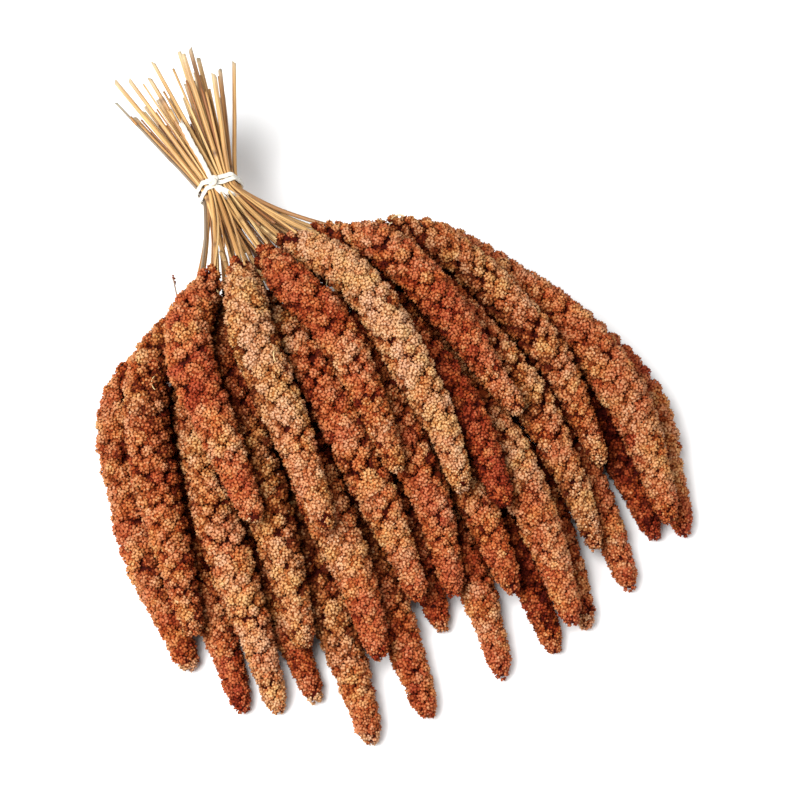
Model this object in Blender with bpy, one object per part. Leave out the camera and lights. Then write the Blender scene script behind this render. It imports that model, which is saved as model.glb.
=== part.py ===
"""A tied bunch of dried foxtail millet, lying down: seed heads on straw stems, held by one wound string.

Metres, +Z up. The cut stems point toward +Y and the heads fan out toward -Y. The origin is the middle of the
base, on the surface that the lowest heads lie on.
"""

import math
import random

import bmesh
import bpy
import numpy as np
from mathutils import Matrix, Vector

# Sizes of the bunch, each range as least and most
SEED = 4
STEM_RADIUS = 0.0015
HEAD_RADIUS = (0.0118, 0.0139)
CUT_END = (0.064, 0.092)
GAP = 0.0006
STEM_TO_HEAD = 0.0004

# A head along its length: share of the full radius at its foot and tip, and how far each change takes
FOOT_SHARE = 0.58
FOOT_RUN = 0.050
FOOT_ROUND = 0.010
TIP_SHARE = 0.58
TIP_RUN = 0.090
TIP_ROUND = 0.007
TIP_POINT = 0.05

# Heads from the lowest layer up: how many, share of the full fan, stem from string to head, length, height.
# Each one strays a little from its even place across the fan and from its layer's height
LAYERS = (
    (9, 1.00, (0.080, 0.100), (0.225, 0.255), 0.012),
    (8, 0.92, (0.068, 0.088), (0.215, 0.250), 0.031),
    (7, 0.80, (0.058, 0.078), (0.185, 0.235), 0.050),
    (5, 0.62, (0.050, 0.066), (0.145, 0.200), 0.069),
)
SIDE_STRAY = 0.04
HEIGHT_STRAY = 0.003

# The fan seen from above, in degrees from straight ahead: middle of the bunch, how far its sides turn from
# that, and how far a single head strays. A head bends back from the share of its stem given here, ever faster
FAN_AT_STEMS = (16, 40, 2)
FAN_AT_TIPS = (-11, 25, 7)
TURN_RUN = 0.055
BEND_START = 0.7
BEND_GROWTH = 1.1

# Heads at the side of the fan sit on longer stems, and those on the right are longer
SIDE_STEM = 0.012
SIDE_LENGTH = 0.07

# Stems inside the string, packed row on row, rising toward their cut ends, which splay
ROWS = (5, 6, 7, 6, 5)
ROW_PITCH = 0.0037
STRING_HEIGHT = 0.040
RISE = 0.16
RISE_FADE = 0.03
LAYER_REACH = 0.06
HELD = 0.0125
STRAIGHT = 0.005
SPLAY_SIDEWAYS = 30
SPLAY_UPWARD = 26
SPLAY_STRAY = 5

# How the culms settle: stiffness, how hard the string, the cut side and the front keep their drawn places,
# how far a head and a bare stem sink in a turn, and how far a head is pressed flat on the floor
STIFFNESS = 60.0
KEEP_IN_STRING = 1e5
KEEP_CUT_SIDE = 0.15
KEEP_FRONT = 0.0006
FRONT_RISE_KEPT = 0.35
HEAD_SINK = 0.00030
STEM_SINK = 0.00005
PRESSED = 0.0010

# Turns of settling and of clearing, pushes in each turn, how strong a push is, the least share of a stretch
# that can be pushed, how near two stretches are watched, and how much of a kink is eased in a turn
SETTLE_TURNS = 280
SETTLE_PUSHES = 4
SEARCH_EVERY = 8
CLEAR_TURNS = 16
CLEAR_PUSHES = 14
PUSH = 1.2
LEAST_SHARE = 0.05
WATCH_NEAR = 0.003
KINK_EASED = 0.1

# String: two windings, each with its slant across the stems, a knot of two lumps, each with its place, turn
# and half sizes, and two loose ends from the knot, each with its start, sideways drift, length and width
STRING_WIDTH = 0.0030
STRING_THICKNESS = 0.0013
STRING_CLEAR = 0.0004
WINDINGS = ((-0.0016, -0.03), (0.0016, 0.05))
KNOT = (
    ((-0.0026, 0.0002, 0.0009), 35, (0.0031, 0.0023, 0.0013)),
    ((-0.0052, -0.0004, 0.0008), -40, (0.0028, 0.0019, 0.0012)),
)
LONG_END = (-0.0040, 0.0008, -0.0075, 0.038, 0.0030)
SHORT_END = (-0.0036, -0.0006, 0.0050, -0.013, 0.0042)
END_POINTS = 9
END_NEAR = 0.001

# Facets, and the relief of seed clusters: shares of the radius at their tops and in the gaps between them.
# A cap is how far the last ring stays from the tip that closes a head or a stem
PATH_POINTS = 60
DRAWN_POINTS = 400
PLANE_REACH = 0.004
HEAD_SIDES = 8
HEAD_RINGS = 28
CLUSTER_TOP = (0.92, 1.0)
CLUSTER_GAP = (0.70, 0.79)
RING_TWIST = 0.22
FOOT_CAP = 0.0020
TIP_CAP = 0.0011
STEM_SIDES = 5
STEM_RINGS = 9
STEM_CAP = 0.0007
STEM_SLIM = 0.94
STRING_SIDES = 6
CORNER_BEND = 20

# Base colour and roughness
SEED_RED = ((0.240, 0.070, 0.028), 0.85)
STRAW = ((0.600, 0.410, 0.220), 0.55)
COTTON = ((0.830, 0.800, 0.730), 0.90)

ROW_HEIGHT = ROW_PITCH * math.sin(math.radians(60))
BUNDLE_MIDDLE = (len(ROWS) - 1) / 2 * ROW_HEIGHT


def smooth(share):
    share = np.clip(share, 0, 1)
    return share * share * (3 - 2 * share)


class Culm:
    """One stem with its head: sizes, and the lines that it is first drawn along."""

    def __init__(self, rng, layer, place, odd):
        count, reach, stem, length, height = LAYERS[layer]
        self.side = reach * (2 * (place + 0.5) / count - 1) + rng.uniform(-SIDE_STRAY, SIDE_STRAY)
        self.odd = odd
        self.stem = rng.uniform(*stem) + SIDE_STEM * abs(self.side)
        self.length = rng.uniform(*length) * (1 + SIDE_LENGTH * self.side)
        self.radius = rng.uniform(*HEAD_RADIUS)
        self.cut = rng.uniform(*CUT_END)
        self.height = height + rng.uniform(-HEIGHT_STRAY, HEIGHT_STRAY)
        self.turn_at_stem, self.turn_at_tip = (
            math.radians(middle + sides * self.side + rng.uniform(-stray, stray))
            for middle, sides, stray in (FAN_AT_STEMS, FAN_AT_TIPS))
        self.splay = [math.radians(rng.uniform(-SPLAY_STRAY, SPLAY_STRAY)) for _ in range(2)]
        self.bundle_x = 0.0
        self.bundle_z = 0.0

    def run(self):
        """Distances along the culm from the string, below zero on the cut side."""
        return np.linspace(-self.cut, self.stem + self.length, PATH_POINTS)

    def radius_at(self, run):
        """A slim foot, a full middle and a tapering tip with a round end; the bare stem before it."""
        along = run - self.stem
        left = self.length - along
        radius = self.radius * (FOOT_SHARE + (1 - FOOT_SHARE) * smooth(along / FOOT_RUN))
        radius *= 1 - (1 - TIP_SHARE) * smooth(1 - left / TIP_RUN)
        foot = self.radius * FOOT_SHARE * np.sqrt(np.clip(along / FOOT_ROUND, 0, 1)) + STEM_RADIUS
        radius = np.where(along < FOOT_ROUND, np.minimum(radius, foot), radius)
        radius *= np.sqrt(np.clip(1 - np.clip(1 - left / TIP_ROUND, 0, 1) ** 2, TIP_POINT, 1))
        return np.where(along < 0, STEM_RADIUS, np.maximum(radius, STEM_RADIUS))

    def drawn_line(self):
        """Plan and heights before the culms press on each other."""
        run = self.run()
        ahead = np.linspace(0, self.stem + self.length, DRAWN_POINTS)
        turn = self.turn_at_stem * smooth((ahead - STRAIGHT) / TURN_RUN)
        start = BEND_START * self.stem
        bend = np.clip((ahead - start) / (ahead[-1] - start), 0, 1) ** BEND_GROWTH
        turn += (self.turn_at_tip - self.turn_at_stem) * bend
        step = ahead[1]
        x = np.concatenate([[0], np.cumsum(np.sin(turn[1:]) + np.sin(turn[:-1])) * step / 2])
        y = np.concatenate([[0], -np.cumsum(np.cos(turn[1:]) + np.cos(turn[:-1])) * step / 2])
        past = np.maximum(-run - STRAIGHT, 0)
        sideways = self.bundle_x * SPLAY_SIDEWAYS + self.splay[0]
        upward = (self.bundle_z - STRING_HEIGHT - BUNDLE_MIDDLE) * SPLAY_UPWARD + self.splay[1]
        to_layer = (self.height - self.bundle_z) * smooth(run / (self.stem + LAYER_REACH))
        front = self.bundle_z - RISE * run * np.exp(-run / RISE_FADE) + to_layer
        return np.stack([
            np.where(run > 0, np.interp(run, ahead, x), sideways * past) + self.bundle_x,
            np.where(run > 0, np.interp(run, ahead, y), -run),
            np.where(run > 0, front, self.bundle_z - RISE * run + upward * past),
        ], axis=1)


def draw_culms(rng):
    """All culms, lowest first, placed among the packed stems in the order that they have across the fan."""
    culms = []
    for layer, (count, *_) in enumerate(LAYERS):
        group = [Culm(rng, layer, place, place % 2) for place in range(count)]
        culms += sorted(group, key=lambda culm: (culm.odd, culm.side))
    packed = []
    for row, count in enumerate(ROWS):
        group = sorted(culms[len(packed):len(packed) + count], key=lambda culm: culm.side)
        for place, culm in enumerate(group):
            culm.bundle_x = (place - (count - 1) / 2) * ROW_PITCH
            culm.bundle_z = STRING_HEIGHT + row * ROW_HEIGHT
        packed += group
    return packed


def closest_shares(start_a, end_a, start_b, end_b):
    """Where two straight stretches come closest, as the share of each one's length."""
    along_a = end_a - start_a
    along_b = end_b - start_b
    apart = start_a - start_b
    aa = (along_a * along_a).sum(1)
    bb = (along_b * along_b).sum(1)
    ab = (along_a * along_b).sum(1)
    a_apart = (along_a * apart).sum(1)
    b_apart = (along_b * apart).sum(1)
    share_a = np.clip((ab * b_apart - a_apart * bb) / np.maximum(aa * bb - ab * ab, 1e-14), 0, 1)
    share_b = np.clip((ab * share_a + b_apart) / bb, 0, 1)
    share_a = np.clip((ab * share_b - a_apart) / aa, 0, 1)
    return share_a, share_b


class Pile:
    """The culms as bent rods that lie on the floor and on each other, with the string holding each one."""

    def __init__(self, culms):
        run = np.array([culm.run() for culm in culms])
        self.line = np.array([culm.drawn_line() for culm in culms])
        self.radius = np.array([culm.radius_at(culm.run()) for culm in culms])
        self.step = (run[:, -1] - run[:, 0]) / (PATH_POINTS - 1)
        self.at_string = np.argmin(abs(run), axis=1)
        self.held = abs(run) < HELD
        self.front = run > HELD
        head = run > np.array([culm.stem for culm in culms])[:, None]
        self.sink = np.where(head, HEAD_SINK, STEM_SINK)
        self.floor = self.radius - np.where(head, PRESSED, 0)
        self.drawn = self.line.copy()
        # Rods keep the curve they were drawn with, but flatter, so that the pile under them lifts them
        self.shape = self.line * (1, 1, FRONT_RISE_KEPT)
        second = np.diff(np.eye(PATH_POINTS), n=2, axis=0)
        bending = STIFFNESS * second.T @ second
        self.keep = np.where(self.held, KEEP_IN_STRING, np.where(run < 0, KEEP_CUT_SIDE, KEEP_FRONT))
        self.solve = [np.linalg.inv(np.eye(PATH_POINTS) + bending + np.diag(keep)) for keep in self.keep]
        self.curve = np.array([bending @ shape for shape in self.shape])
        self.pairs = None

    def find_pairs(self):
        """Stretches of different culms that are near enough to touch."""
        count = len(self.line)
        middle = (self.line[:, 1:] + self.line[:, :-1]).reshape(-1, 3) / 2
        radius = np.maximum(self.radius[:, 1:], self.radius[:, :-1]).ravel()
        owner = np.repeat(np.arange(count), PATH_POINTS - 1)
        place = np.tile(np.arange(PATH_POINTS - 1), count)
        reach = radius[:, None] + radius[None, :] + GAP + self.step.mean() + WATCH_NEAR
        square = (middle ** 2).sum(1)
        apart = square[:, None] + square[None, :] - 2 * middle @ middle.T
        first, second = np.nonzero((apart < reach ** 2) & (owner[:, None] < owner[None, :]))
        self.pairs = (owner[first], place[first], owner[second], place[second])

    def push_apart(self, rounds):
        """Moves what overlaps, half each, and lifts what is under the floor."""
        one, at_one, two, at_two = self.pairs
        ends = ((one, at_one, 1), (one, at_one + 1, 1), (two, at_two, -1), (two, at_two + 1, -1))
        for _ in range(rounds):
            corner = [self.line[culm, place] for culm, place, _ in ends]
            share_one, share_two = closest_shares(*corner)
            shares = (1 - share_one, share_one, 1 - share_two, share_two)
            signed = [(part * sign)[:, None] for part, (*_, sign) in zip(shares, ends)]
            apart = sum(part * point for part, point in zip(signed, corner))
            distance = np.maximum(np.linalg.norm(apart, axis=1), 1e-9)
            need = sum(part * self.radius[culm, place] for part, (culm, place, _) in zip(shares, ends)) + GAP
            free = [np.where(self.held[culm, place], 0.0, 1.0) for culm, place, _ in ends]
            give = sum(loose * part ** 2 for loose, part in zip(free, shares))
            depth = np.maximum(need - distance, 0) * (give > LEAST_SHARE) / np.maximum(give, LEAST_SHARE)
            shift = np.zeros_like(self.line)
            pushes = np.zeros(self.line.shape[:2])
            for (culm, place, sign), loose, part in zip(ends, free, shares):
                move = (depth * loose * part * sign / distance)[:, None] * apart
                np.add.at(shift, (culm, place), move)
                np.add.at(pushes, (culm, place), (part > LEAST_SHARE) & (depth > 0))
            self.line += PUSH * shift / np.maximum(pushes, 1)[:, :, None]
            self.line[:, :, 2] = np.maximum(self.line[:, :, 2], self.floor)

    def bend(self):
        """One step down under the heads' weight, as far as the stems' stiffness and the string allow."""
        target = self.drawn.copy()
        target[:, :, 2] = np.where(self.front, self.line[:, :, 2], self.drawn[:, :, 2])
        self.line[:, :, 2] -= self.sink
        pull = self.line + self.curve + self.keep[:, :, None] * target
        self.line = np.array([solve @ row for solve, row in zip(self.solve, pull)])

    def keep_lengths(self):
        """Brings each stretch half way back to its own length, outward from the string."""
        along = np.diff(self.line, axis=1)
        along *= self.step[:, None, None] / np.linalg.norm(along, axis=2, keepdims=True)
        zero = np.zeros((len(self.line), 1, 3))
        line = np.concatenate([zero, np.cumsum(along, axis=1)], axis=1)
        each = np.arange(len(self.line))
        line += (self.line[each, self.at_string] - line[each, self.at_string])[:, None]
        self.line = (self.line + line) / 2

    def ease(self):
        """Takes small kinks out of the free stretches."""
        eased = self.line.copy()
        eased[:, 1:-1] += (self.line[:, 2:] + self.line[:, :-2] - 2 * self.line[:, 1:-1]) * KINK_EASED
        self.line = np.where(self.held[:, :, None], self.line, eased)

    def settle(self):
        """Lets the culms down turn by turn, then clears what still overlaps."""
        for turn in range(SETTLE_TURNS):
            if turn % SEARCH_EVERY == 0:
                self.find_pairs()
            self.bend()
            self.keep_lengths()
            self.push_apart(SETTLE_PUSHES)
        for turn in range(CLEAR_TURNS):
            self.find_pairs()
            self.push_apart(CLEAR_PUSHES)
            if turn < CLEAR_TURNS * 2 / 3:
                self.ease()
        return self.line


class Line:
    """A smooth line through points, with a plane across it at each place that doesn't spin along the way."""

    def __init__(self, points, run):
        self.points = points
        self.run = run

    def point(self, run):
        return Vector([np.interp(run, self.run, self.points[:, axis]) for axis in range(3)])

    def planes(self, runs):
        across = Vector((0, 0, 1))
        planes = []
        for run in runs:
            ahead = (self.point(run + PLANE_REACH) - self.point(run - PLANE_REACH)).normalized()
            across = (across - across.dot(ahead) * ahead).normalized()
            side = ahead.cross(across)
            planes.append((self.point(run), side, across))
        return planes


def rings_to_mesh(mesh, rings, start, end):
    """Walls from ring to ring, each ring a list of points, with a tip at both ends."""
    first = [mesh.verts.new(point) for point in rings[0]]
    edges = [mesh.edges.new((first[i - 1], first[i])) for i in range(len(first))]
    loop, loop_edges = first, edges
    for ring in rings[1:]:
        grown = bmesh.ops.extrude_edge_only(mesh, edges=loop_edges)["geom"]
        new = {part for part in grown if isinstance(part, bmesh.types.BMVert)}
        loop = [next(edge.other_vert(vert) for edge in vert.link_edges if edge.other_vert(vert) in new)
                for vert in loop]
        for vert, point in zip(loop, ring):
            vert.co = point
        loop_edges = [part for part in grown
                      if isinstance(part, bmesh.types.BMEdge) and new.issuperset(part.verts)]
    for ring, tip in ((first, start), (loop, end)):
        pole = mesh.verts.new(tip)
        for i in range(len(ring)):
            mesh.faces.new((ring[i - 1], ring[i], pole))
    bmesh.ops.recalc_face_normals(mesh, faces=mesh.faces)


def around(plane, radius, angle):
    middle, side, across = plane
    return middle + radius * (math.cos(angle) * side + math.sin(angle) * across)


def head_mesh(culm, line, rng):
    """Seed clusters as relief: every other point of a ring stands out, in the gaps of the ring before it."""
    start = culm.stem + STEM_TO_HEAD
    end = culm.stem + culm.length
    runs = np.linspace(start + FOOT_CAP, end - TIP_CAP, HEAD_RINGS)
    planes = line.planes(runs)
    turn = rng.uniform(0, math.tau)
    rings = []
    for i, (run, plane) in enumerate(zip(runs, planes)):
        radius = float(culm.radius_at(np.array(run)))
        ring = []
        for side in range(HEAD_SIDES):
            out = radius * rng.uniform(*(CLUSTER_TOP if (side + i) % 2 else CLUSTER_GAP))
            ring.append(around(plane, out, turn + i * RING_TWIST + math.tau * side / HEAD_SIDES))
        rings.append(ring)
    mesh = bmesh.new()
    rings_to_mesh(mesh, rings, line.point(start), line.point(end))
    bmesh.ops.triangulate(mesh, faces=mesh.faces, quad_method="SHORT_EDGE")
    for vert in mesh.verts:
        vert.co.z = max(vert.co.z, 0)
    return mesh


def stem_mesh(culm, line):
    """A straw from its cut end to the foot of the head, a little thinner between its joints."""
    cut_side = np.linspace(-culm.cut + STEM_CAP, -STRAIGHT, STEM_RINGS // 3)
    head_side = np.linspace(STRAIGHT, culm.stem - STEM_CAP, STEM_RINGS - STEM_RINGS // 3)
    runs = np.concatenate([cut_side, head_side])
    rings = []
    for i, plane in enumerate(line.planes(runs)):
        radius = STEM_RADIUS * (STEM_SLIM if i % 2 else 1.0)
        rings.append([around(plane, radius, math.tau * side / STEM_SIDES) for side in range(STEM_SIDES)])
    mesh = bmesh.new()
    rings_to_mesh(mesh, rings, line.point(-culm.cut), line.point(culm.stem))
    return mesh


def string_ring(middle, wide, thick, width):
    """The string's flattened section, as points round its middle."""
    turns = (math.tau * side / STRING_SIDES for side in range(STRING_SIDES))
    return [middle + wide * (math.cos(turn) * width / 2) + thick * (math.sin(turn) * STRING_THICKNESS / 2)
            for turn in turns]


def winding(mesh, y, slant):
    """One turn of the string round the six outer corners of the packed stems."""
    clear = STEM_RADIUS + STRING_CLEAR + STRING_THICKNESS / 2
    side = (ROWS[0] - 1) / 2 * ROW_PITCH
    far = (max(ROWS) - 1) / 2 * ROW_PITCH
    top = BUNDLE_MIDDLE
    rings = []
    for i, (x, z) in enumerate(((far, 0), (side, top), (-side, top), (-far, 0), (-side, -top), (side, -top))):
        for bend in (-CORNER_BEND, CORNER_BEND):
            angle = math.radians(60 * i + bend)
            out = Vector((math.cos(angle), 0, math.sin(angle)))
            middle = Vector((x, y + slant * x, z)) + out * clear
            rings.append(string_ring(middle, Vector((0, 1, 0)), out, STRING_WIDTH))
    loops = [[mesh.verts.new(point) for point in ring] for ring in rings]
    for i, loop in enumerate(loops):
        last = loops[i - 1]
        for j in range(STRING_SIDES):
            mesh.faces.new((last[j - 1], last[j], loop[j], loop[j - 1]))
    bmesh.ops.recalc_face_normals(mesh, faces=mesh.faces)


def lay_end(stems, points, width):
    """Heights of a loose end that lies on the highest stems near it, so that it doesn't dip between them."""
    near = STEM_RADIUS + width / 2 + END_NEAR
    heights = []
    for x, y in points:
        under = np.hypot(stems[:, 0] - x, stems[:, 1] - y) < near
        heights.append(stems[under, 2].max() + STEM_RADIUS)
    padded = np.pad(heights, 1, mode="edge")
    return [max(padded[i:i + 3]) for i in range(len(heights))]


def loose_end(stems, x, y, drift, length, width):
    """A flat end of the string from the knot, closed at both ends."""
    points = [(x + drift * share, y + length * share) for share in np.linspace(0, 1, END_POINTS)]
    lift = STRING_THICKNESS / 2 + STRING_CLEAR
    line = [Vector((x, y, z + lift)) for (x, y), z in zip(points, lay_end(stems, points, width))]
    rings = []
    for i, middle in enumerate(line):
        ahead = (line[min(i + 1, len(line) - 1)] - line[max(i - 1, 0)]).normalized()
        side = ahead.cross(Vector((0, 0, 1))).normalized()
        rings.append(string_ring(middle, side, side.cross(ahead), width))
    cap = (line[-1] - line[-2]).normalized() * STRING_THICKNESS / 2
    mesh = bmesh.new()
    rings_to_mesh(mesh, rings, line[0] - cap, line[-1] + cap)
    return mesh


def string_pieces(stems):
    """The closed shapes that make the string: two windings, the knot's lumps and both loose ends."""
    pieces = []
    tilt = Matrix(((1, 0, 0, 0), (0, 1, 0, 0), (0, RISE, 1, STRING_HEIGHT + BUNDLE_MIDDLE), (0, 0, 0, 1)))
    for y, slant in WINDINGS:
        mesh = bmesh.new()
        winding(mesh, y, slant)
        bmesh.ops.transform(mesh, matrix=tilt, verts=mesh.verts)
        pieces.append(mesh)
    top = Vector((0, 0, STRING_HEIGHT + 2 * BUNDLE_MIDDLE + STEM_RADIUS + STRING_THICKNESS))
    for middle, turn, half_sizes in KNOT:
        mesh = bmesh.new()
        place = Matrix.Translation(top + Vector(middle)) @ Matrix.Rotation(math.radians(turn), 4, "Z")
        shape = place @ Matrix.Diagonal((*half_sizes, 1))
        bmesh.ops.create_icosphere(mesh, subdivisions=2, radius=1, matrix=shape)
        pieces.append(mesh)
    return pieces + [loose_end(stems, *LONG_END), loose_end(stems, *SHORT_END)]


def make_material(name, colour, roughness):
    material = bpy.data.materials.new(name)
    material.use_nodes = True
    shader = material.node_tree.nodes["Principled BSDF"]
    shader.inputs["Base Color"].default_value = (*colour, 1)
    shader.inputs["Roughness"].default_value = roughness
    shader.inputs["Metallic"].default_value = 0
    material.diffuse_color = (*colour, 1)
    return material


def add_object(name, mesh, material, collection=None):
    data = bpy.data.meshes.new(name)
    mesh.to_mesh(data)
    mesh.free()
    data.materials.append(material)
    thing = bpy.data.objects.new(name, data)
    (collection or bpy.context.scene.collection).objects.link(thing)
    return thing


def keep_outer_skin(data):
    """Fills hollows that the union sealed, by keeping only the largest of the mesh's separate skins."""
    mesh = bmesh.new()
    mesh.from_mesh(data)
    left = set(mesh.verts)
    skins = []
    while left:
        skin = [left.pop()]
        for vert in skin:
            near = {edge.other_vert(vert) for edge in vert.link_edges} & left
            left -= near
            skin += near
        skins.append(skin)
    skins.sort(key=len)
    bmesh.ops.delete(mesh, geom=[vert for skin in skins[:-1] for vert in skin])
    mesh.to_mesh(data)
    mesh.free()


def join_string(pieces, material):
    """One union of all the string's shapes, applied, with the shapes then removed."""
    parts = bpy.data.collections.new("string_parts")
    bpy.context.scene.collection.children.link(parts)
    string = add_object("string", pieces[0], material)
    others = [add_object(f"string_part_{i}", piece, material, parts) for i, piece in enumerate(pieces[1:])]
    union = string.modifiers.new("union", "BOOLEAN")
    union.operation = "UNION"
    union.operand_type = "COLLECTION"
    union.collection = parts
    union.solver = "EXACT"
    bpy.context.view_layer.update()
    joined = bpy.data.meshes.new_from_object(string.evaluated_get(bpy.context.evaluated_depsgraph_get()))
    string.modifiers.clear()
    string.data = joined
    keep_outer_skin(joined)
    for other in others:
        bpy.data.objects.remove(other)
    bpy.data.collections.remove(parts)
    return string


def centre_on_origin(things):
    """Brings the middle of the bunch's plan over the origin."""
    corners = np.array([vert.co[:] for thing in things for vert in thing.data.vertices])
    middle = (corners.min(axis=0) + corners.max(axis=0)) / 2
    for thing in things:
        thing.data.transform(Matrix.Translation((-middle[0], -middle[1], 0)))


def build():
    for thing in list(bpy.data.objects):
        bpy.data.objects.remove(thing)
    rng = random.Random(SEED)
    culms = draw_culms(rng)
    lines = Pile(culms).settle()
    red = make_material("seed_red", *SEED_RED)
    straw = make_material("straw", *STRAW)
    cotton = make_material("cotton", *COTTON)
    things = []
    stems = []
    for i, (culm, points) in enumerate(zip(culms, lines), start=1):
        line = Line(points, culm.run())
        things.append(add_object(f"head_{i:02d}", head_mesh(culm, line, rng), red))
        things.append(add_object(f"stem_{i:02d}", stem_mesh(culm, line), straw))
        stems += [line.point(run)[:] for run in np.arange(-culm.cut, culm.stem, STEM_RADIUS / 2)]
    things.append(join_string(string_pieces(np.array(stems)), cotton))
    centre_on_origin(things)


build()
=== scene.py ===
"""Looks of one tied bunch of dried foxtail millet that lies on its lowest heads.

Each section is one stage of the bunch: straws, thin straws, bristle and shreds, seed heads, string. Floor,
lamps and camera come last.
"""

import collections
import itertools
import math

import bmesh
import bpy
import numpy as np
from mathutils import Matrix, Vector
from mathutils.bvhtree import BVHTree


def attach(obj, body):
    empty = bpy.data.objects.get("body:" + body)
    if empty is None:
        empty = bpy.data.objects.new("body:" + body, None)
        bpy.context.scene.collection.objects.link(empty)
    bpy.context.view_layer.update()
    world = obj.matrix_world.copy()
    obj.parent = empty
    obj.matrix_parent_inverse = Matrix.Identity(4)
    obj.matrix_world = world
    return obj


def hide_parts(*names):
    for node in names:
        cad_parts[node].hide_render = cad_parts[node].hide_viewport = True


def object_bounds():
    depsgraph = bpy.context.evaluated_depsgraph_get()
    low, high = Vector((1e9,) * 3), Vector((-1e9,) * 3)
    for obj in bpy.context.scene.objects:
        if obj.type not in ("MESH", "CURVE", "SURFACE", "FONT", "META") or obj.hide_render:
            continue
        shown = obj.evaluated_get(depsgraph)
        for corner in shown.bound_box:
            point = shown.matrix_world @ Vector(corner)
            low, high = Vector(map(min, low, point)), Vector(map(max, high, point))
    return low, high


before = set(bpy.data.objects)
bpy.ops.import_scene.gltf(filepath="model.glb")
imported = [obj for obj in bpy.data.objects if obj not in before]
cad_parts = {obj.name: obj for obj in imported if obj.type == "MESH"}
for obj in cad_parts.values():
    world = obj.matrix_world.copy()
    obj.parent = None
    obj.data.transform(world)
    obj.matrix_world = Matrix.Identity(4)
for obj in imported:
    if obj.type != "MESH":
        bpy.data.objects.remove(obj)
cad_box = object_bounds()


# Straw: the dried stalk under each head, hollow, pale gold to brown, with a swollen joint here and there. It
# was cut off beyond the string with a knife, and at its other end it runs on inside its head. Some joints
# still have a torn strip of their leaf sheath.

CULMS = 29
RING_TOP = 0.96

# A straw is slimmer than its solid, flatter, uneven and straighter, and its cut is slanted and frayed
STRAW_SIDES = 10
STRAW_STEP = 0.003
STRAW_SLIMMER = (0.68, 0.94)
STRAW_FLATTER = 0.22
STRAW_UNEVEN = 0.06
UNEVEN_PLACES = 7
STRAW_INTO_HEAD = (0.004, 0.022)
HELD_BY_STRING = 0.005
STRAIGHTER_AT_CUT = 0.8
STRAIGHTER_AT_HEAD = 0.7
STRAW_BORE = 0.55
STRAW_DEPTH = 0.006
CUT_SLANT = 0.0016
CUT_FRAY = 0.0005
PITH_RUN = 0.007

# Ages go from 0, pale, to 1, grey-brown, and follow a beta distribution
AGE_SPREAD = (1.3, 1.6)
OLDEST = 0.9

# Joints, and sheaths, which clasp a straw by so many radians at the joint and open toward their other end
MOST_JOINTS = 2
JOINT_FROM_CUT = 0.012
JOINT_FROM_END = 0.030
JOINT_HEIGHT = 0.0022
JOINT_SWELL = 0.24
DARK_NARROWER = 1.5
SHEATHED = 0.4
SHEATH_LENGTH = (0.006, 0.014)
SHEATH_THICKNESS = 0.00012
SHEATH_CLASP = 4.6
SHEATH_OPENS = 3.2
SHEATH_TORN = 0.35

# One straw is a thin grey-brown twig
TWIG = 12
TWIG_SHARE = 0.62
TWIG_JOINTS = (0.019, 0.052)

# Strips of the map: the straw's own, the width of each thin straw's, and start and width of the sheaths'
STRAW_STRIP = (0, 0.5)
THIN_STRIP = 0.06
SHEATH_STRIP = (0.9, 0.1)

scene = bpy.context.scene
rng = np.random.default_rng(11)
Straw = collections.namedtuple("Straw", "curve radius at tie foot")


def node_line(name):
    """Middles and radii of a node's rings, from one of its ends to the other."""
    mesh = bmesh.new()
    mesh.from_mesh(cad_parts[name].data)
    bmesh.ops.remove_doubles(mesh, verts=mesh.verts, dist=1e-6)
    mesh.verts.ensure_lookup_table()
    mesh.verts.index_update()

    def rings_from(start):
        seen = {start}
        ring = [start]
        rings = []
        while ring:
            rings.append(ring)
            ahead = {edge.other_vert(vert) for vert in ring for edge in vert.link_edges} - seen
            ring = sorted(ahead, key=lambda vert: vert.index)
            seen |= ahead
        return rings

    def unevenness(start):
        return np.std([len(ring) for ring in rings_from(start)[1:-1]])

    far = rings_from(mesh.verts[0])[-1][0]
    near_end = [far] + [edge.other_vert(far) for edge in far.link_edges]
    rings = [np.array([vert.co[:] for vert in ring]) for ring in rings_from(min(near_end, key=unevenness))]
    mesh.free()
    middles = np.array([ring.mean(axis=0) for ring in rings])
    radii = []
    for ring, middle in zip(rings, middles):
        reach = np.sort(np.linalg.norm(ring - middle, axis=1))
        radii.append(reach[len(ring) // 2:].mean())
    return middles, np.array(radii) / RING_TOP


def distances(points):
    """How far along a line each of its points is."""
    return np.concatenate([[0], np.cumsum(np.linalg.norm(np.diff(points, axis=0), axis=1))])


def unit(ways):
    """The given directions, each one long."""
    return ways / np.linalg.norm(ways, axis=1, keepdims=True)


def smooth_line(points, step):
    """A smooth curve through the points: distances along it, and evenly spaced places on it."""
    along = distances(points)
    slope = np.gradient(points, along, axis=0)
    at = np.linspace(0, along[-1], int(along[-1] / step) + 2)
    i = np.clip(np.searchsorted(along, at, side="right") - 1, 0, len(points) - 2)
    width = (along[i + 1] - along[i])[:, None]
    t = (at - along[i])[:, None] / width
    curve = (points[i] * (1 + 2 * t) * (1 - t) ** 2 + slope[i] * width * t * (1 - t) ** 2
             + points[i + 1] * t * t * (3 - 2 * t) - slope[i + 1] * width * t * t * (1 - t))
    return at, curve


def directions(curve):
    """Ahead, sideways and across at each place of a curve, without spin from place to place."""
    ahead = unit(np.gradient(curve, axis=0))
    across = np.zeros_like(curve)
    last = np.array([0.0, 0.0, 1.0])
    for i, way in enumerate(ahead):
        last = last - last.dot(way) * way
        last /= np.linalg.norm(last)
        across[i] = last
    return ahead, np.cross(ahead, across), across


def at_place(where, along, values):
    """Values along a line, read at other distances."""
    return np.stack([np.interp(where, along, column) for column in values.T], axis=1)


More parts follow.
